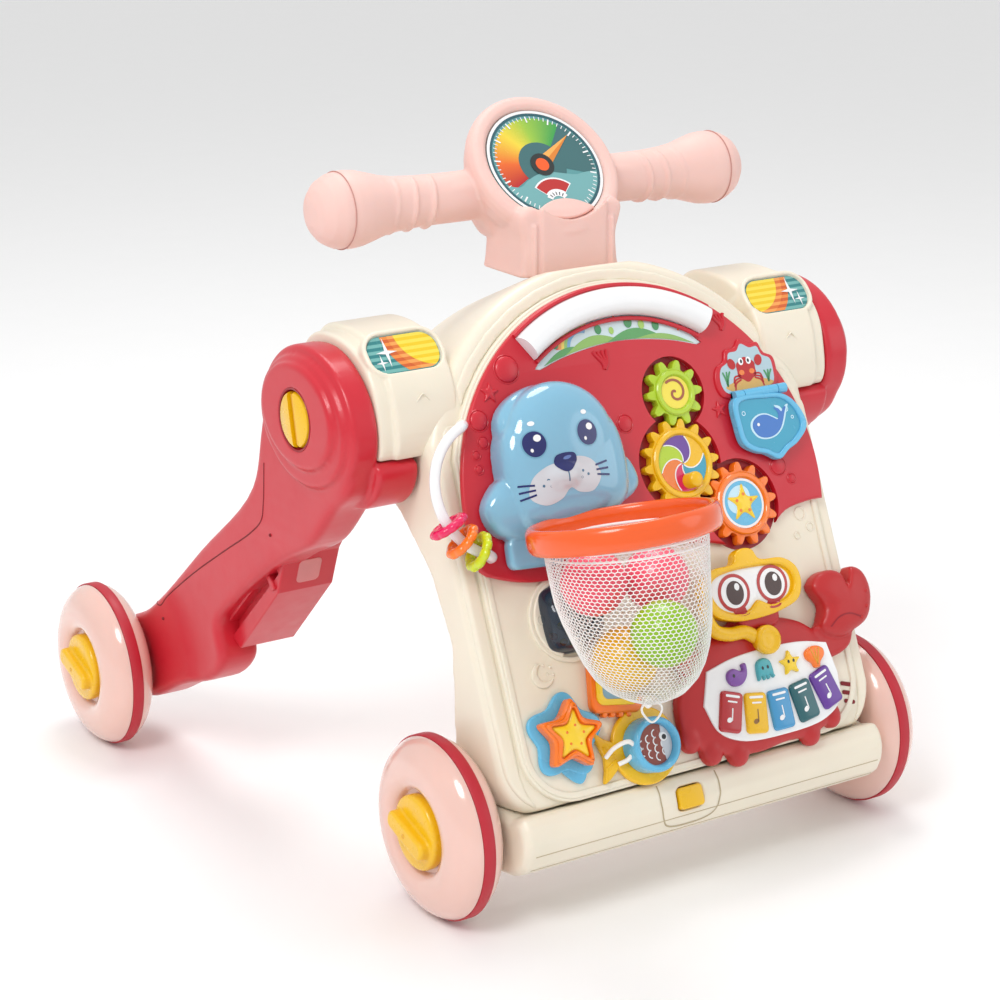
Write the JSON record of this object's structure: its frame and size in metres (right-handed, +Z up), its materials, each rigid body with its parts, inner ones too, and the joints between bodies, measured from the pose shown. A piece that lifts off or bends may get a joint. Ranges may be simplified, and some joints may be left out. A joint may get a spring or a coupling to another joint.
{
  "type": "baby walker",
  "caption": "Folding baby push walker with a leaning activity panel, scooter-style handlebar, splayed rear arms on locking shoulders and freely rolling wheels.",
  "frame": {"origin": "on the ground, under the middle of the whole walker", "axes": "+Z up, -Y the way the activity panel faces (the front), +Y towards the rear wheels, +X to the viewer's right when facing the panel"},
  "size_m": [0.507, 0.5625, 0.4831],
  "materials": {
    "cream_plastic": "satin moulded",
    "red_plastic": "satin moulded",
    "wheel_pink": "glossy with a red tread band",
    "yellow_plastic": "glossy",
    "axle_steel": "plain",
    "handlebar_pink": "soft touch",
    "dial_teal": "printed label",
    "picture_teal": "printed label",
    "white_plastic": "glossy",
    "seal_blue": "high gloss",
    "orange_plastic": "glossy",
    "net_fabric": "knitted open mesh",
    "ball_pink": "soft",
    "ball_rose": "soft",
    "ball_green": "soft",
    "ball_yellow": "soft",
    "green_plastic": "glossy",
    "door_blue": "glossy",
    "smoke_plastic": "tinted, see-through",
    "key_red": "glossy",
    "key_teal": "glossy",
    "key_purple": "glossy",
    "magenta_plastic": "glossy, translucent"
  },
  "bodies": {
    "frame": {"body_front_shell": "cream_plastic", "body_back_shell": "cream_plastic", "base_beam": "cream_plastic", "front_axle": "axle_steel", "shoulder_block_right": "cream_plastic", "shoulder_block_left": "cream_plastic", "handlebar": "handlebar_pink", "dial_face": "dial_teal", "panel_board": "cream_plastic", "panel_dome": "red_plastic", "carry_handle": "white_plastic", "seal": "seal_blue", "hoop": "orange_plastic", "net": "net_fabric", "ball_pink": "ball_pink", "ball_rose": "ball_rose", "ball_green": "ball_green", "ball_yellow": "ball_yellow", "crab_body": "red_plastic", "crab_mask": "yellow_plastic", "bead_rail": "cream_plastic"},
    "arm_right_body": {"arm_right": "red_plastic", "seat_bracket_right": "red_plastic", "rear_axle_right": "axle_steel"},
    "front_wheel_right_body": {"front_wheel_right": "wheel_pink", "front_wheel_right_cap": "yellow_plastic"},
    "rear_wheel_right_body": {"rear_wheel_right": "wheel_pink", "rear_wheel_right_cap": "yellow_plastic"},
    "lock_knob_right_body": {"shoulder_lock_knob_right": "yellow_plastic"},
    "shoulder_button_right_body": {"shoulder_button_right": "picture_teal"},
    "arm_left_body": {"arm_left": "red_plastic", "seat_bracket_left": "red_plastic", "rear_axle_left": "axle_steel"},
    "front_wheel_left_body": {"front_wheel_left": "wheel_pink", "front_wheel_left_cap": "yellow_plastic"},
    "rear_wheel_left_body": {"rear_wheel_left": "wheel_pink", "rear_wheel_left_cap": "yellow_plastic"},
    "lock_knob_left_body": {"shoulder_lock_knob_left": "yellow_plastic"},
    "shoulder_button_left_body": {"shoulder_button_left": "picture_teal"},
    "base_button_body": {"base_release_button": "yellow_plastic"},
    "gear_yellow_body": {"gear_yellow": "yellow_plastic"},
    "gear_green_body": {"gear_green": "green_plastic"},
    "gear_orange_body": {"gear_orange": "orange_plastic"},
    "shell_door_body": {"shell_door": "door_blue"},
    "rattle_body": {"rattle_drum": "smoke_plastic"},
    "star_body": {"star_knob": "orange_plastic"},
    "fish_body": {"fish_knob": "door_blue"},
    "nose_body": {"crab_nose": "yellow_plastic"},
    "key_1_body": {"piano_key_1": "key_red"},
    "key_2_body": {"piano_key_2": "yellow_plastic"},
    "key_3_body": {"piano_key_3": "door_blue"},
    "key_4_body": {"piano_key_4": "key_teal"},
    "key_5_body": {"piano_key_5": "key_purple"},
    "whale_button_body": {"sound_button_whale": "white_plastic"},
    "octopus_button_body": {"sound_button_octopus": "white_plastic"},
    "star_button_body": {"sound_button_star": "white_plastic"},
    "shell_button_body": {"sound_button_shell": "white_plastic"},
    "bead_magenta_body": {"bead_ring_magenta": "magenta_plastic"},
    "bead_orange_body": {"bead_ring_orange": "orange_plastic"},
    "bead_lime_body": {"bead_ring_lime": "green_plastic"}
  },
  "joints": [
    {"name": "arm_right_swing", "type": "hinge", "parent": "frame", "child": "arm_right_body", "pos_m": [0.17, -0.0447, 0.304], "axis": [1, 0, 0], "range_deg": [0, 40]},
    {"name": "front_wheel_right_spin", "type": "hinge", "parent": "frame", "child": "front_wheel_right_body", "pos_m": [0.1675, -0.1527, 0.06], "axis": [1, 0, 0], "continuous": true},
    {"name": "rear_wheel_right_spin", "type": "hinge", "parent": "arm_right_body", "child": "rear_wheel_right_body", "pos_m": [0.2265, 0.2233, 0.06], "axis": [1, 0, 0], "continuous": true},
    {"name": "lock_knob_right_turn", "type": "hinge", "parent": "arm_right_body", "child": "lock_knob_right_body", "pos_m": [0.204, -0.0447, 0.306], "axis": [1, 0, 0], "range_deg": [0, 90]},
    {"name": "shoulder_button_right_press", "type": "slide", "parent": "frame", "child": "shoulder_button_right_body", "axis": [0, 0.7431, -0.6691], "range_m": [0, 0.003], "stiffness_N_per_m": 400},
    {"name": "arm_left_swing", "type": "hinge", "parent": "frame", "child": "arm_left_body", "pos_m": [-0.17, -0.0447, 0.304], "axis": [1, 0, 0], "range_deg": [0, 40]},
    {"name": "front_wheel_left_spin", "type": "hinge", "parent": "frame", "child": "front_wheel_left_body", "pos_m": [-0.1675, -0.1527, 0.06], "axis": [1, 0, 0], "continuous": true},
    {"name": "rear_wheel_left_spin", "type": "hinge", "parent": "arm_left_body", "child": "rear_wheel_left_body", "pos_m": [-0.2265, 0.2233, 0.06], "axis": [1, 0, 0], "continuous": true},
    {"name": "lock_knob_left_turn", "type": "hinge", "parent": "arm_left_body", "child": "lock_knob_left_body", "pos_m": [-0.204, -0.0447, 0.306], "axis": [1, 0, 0], "range_deg": [0, 90]},
    {"name": "shoulder_button_left_press", "type": "slide", "parent": "frame", "child": "shoulder_button_left_body", "axis": [0, 0.7431, -0.6691], "range_m": [0, 0.003], "stiffness_N_per_m": 400},
    {"name": "base_button_press", "type": "slide", "parent": "frame", "child": "base_button_body", "axis": [0, 0.9178, -0.3971], "range_m": [0, 0.003], "stiffness_N_per_m": 300},
    {"name": "gear_yellow_spin", "type": "hinge", "parent": "frame", "child": "gear_yellow_body", "pos_m": [0.028, -0.13713, 0.26232], "axis": [0, -0.9178, 0.3971], "continuous": true},
    {"name": "gear_green_spin", "type": "hinge", "parent": "frame", "child": "gear_green_body", "pos_m": [0.0346, -0.11873, 0.30484], "axis": [0, -0.9178, 0.3971], "continuous": true},
    {"name": "gear_orange_spin", "type": "hinge", "parent": "frame", "child": "gear_orange_body", "pos_m": [0.06872, -0.15039, 0.23168], "axis": [0, -0.9178, 0.3971], "continuous": true},
    {"name": "shell_door_lift", "type": "hinge", "parent": "frame", "child": "shell_door_body", "pos_m": [0.1, -0.12673, 0.29795], "axis": [-1, 0, 0], "range_deg": [0, 165]},
    {"name": "rattle_spin", "type": "hinge", "parent": "frame", "child": "rattle_body", "pos_m": [-0.08, -0.16091, 0.18472], "axis": [1, 0, 0], "continuous": true},
    {"name": "star_spin", "type": "hinge", "parent": "frame", "child": "star_body", "pos_m": [-0.102, -0.20235, 0.1242], "axis": [0, -0.9178, 0.3971], "continuous": true},
    {"name": "fish_spin", "type": "hinge", "parent": "frame", "child": "fish_body", "pos_m": [-0.046, -0.2095, 0.10768], "axis": [0, -0.9178, 0.3971], "continuous": true},
    {"name": "nose_press", "type": "slide", "parent": "frame", "child": "nose_body", "axis": [0, 0.9178, -0.3971], "range_m": [0, 0.003], "stiffness_N_per_m": 300},
    {"name": "key_1_press", "type": "slide", "parent": "frame", "child": "key_1_body", "axis": [0, 0.9178, -0.3971], "range_m": [0, 0.003], "stiffness_N_per_m": 300},
    {"name": "key_2_press", "type": "slide", "parent": "frame", "child": "key_2_body", "axis": [0, 0.9178, -0.3971], "range_m": [0, 0.003], "stiffness_N_per_m": 300},
    {"name": "key_3_press", "type": "slide", "parent": "frame", "child": "key_3_body", "axis": [0, 0.9178, -0.3971], "range_m": [0, 0.003], "stiffness_N_per_m": 300},
    {"name": "key_4_press", "type": "slide", "parent": "frame", "child": "key_4_body", "axis": [0, 0.9178, -0.3971], "range_m": [0, 0.003], "stiffness_N_per_m": 300},
    {"name": "key_5_press", "type": "slide", "parent": "frame", "child": "key_5_body", "axis": [0, 0.9178, -0.3971], "range_m": [0, 0.003], "stiffness_N_per_m": 300},
    {"name": "whale_button_press", "type": "slide", "parent": "frame", "child": "whale_button_body", "axis": [0, 0.9178, -0.3971], "range_m": [0, 0.003], "stiffness_N_per_m": 300},
    {"name": "octopus_button_press", "type": "slide", "parent": "frame", "child": "octopus_button_body", "axis": [0, 0.9178, -0.3971], "range_m": [0, 0.003], "stiffness_N_per_m": 300},
    {"name": "star_button_press", "type": "slide", "parent": "frame", "child": "star_button_body", "axis": [0, 0.9178, -0.3971], "range_m": [0, 0.003], "stiffness_N_per_m": 300},
    {"name": "shell_button_press", "type": "slide", "parent": "frame", "child": "shell_button_body", "axis": [0, 0.9178, -0.3971], "range_m": [0, 0.003], "stiffness_N_per_m": 300},
    {"name": "bead_magenta_slide", "type": "hinge", "parent": "frame", "child": "bead_magenta_body", "pos_m": [-0.119, -0.1434, 0.27302], "axis": [0, -0.9178, 0.3971], "range_deg": [-80, 5]},
    {"name": "bead_orange_slide", "type": "hinge", "parent": "frame", "child": "bead_orange_body", "pos_m": [-0.119, -0.1434, 0.27302], "axis": [0, -0.9178, 0.3971], "range_deg": [-5, 5]},
    {"name": "bead_lime_slide", "type": "hinge", "parent": "frame", "child": "bead_lime_body", "pos_m": [-0.119, -0.1434, 0.27302], "axis": [0, -0.9178, 0.3971], "range_deg": [-5, 6]}
  ],
  "couplings": [
    {"joint": "gear_green_spin", "follows": "gear_yellow_spin", "ratio": -1.4},
    {"joint": "gear_orange_spin", "follows": "gear_yellow_spin", "ratio": -1.0769}
  ]
}
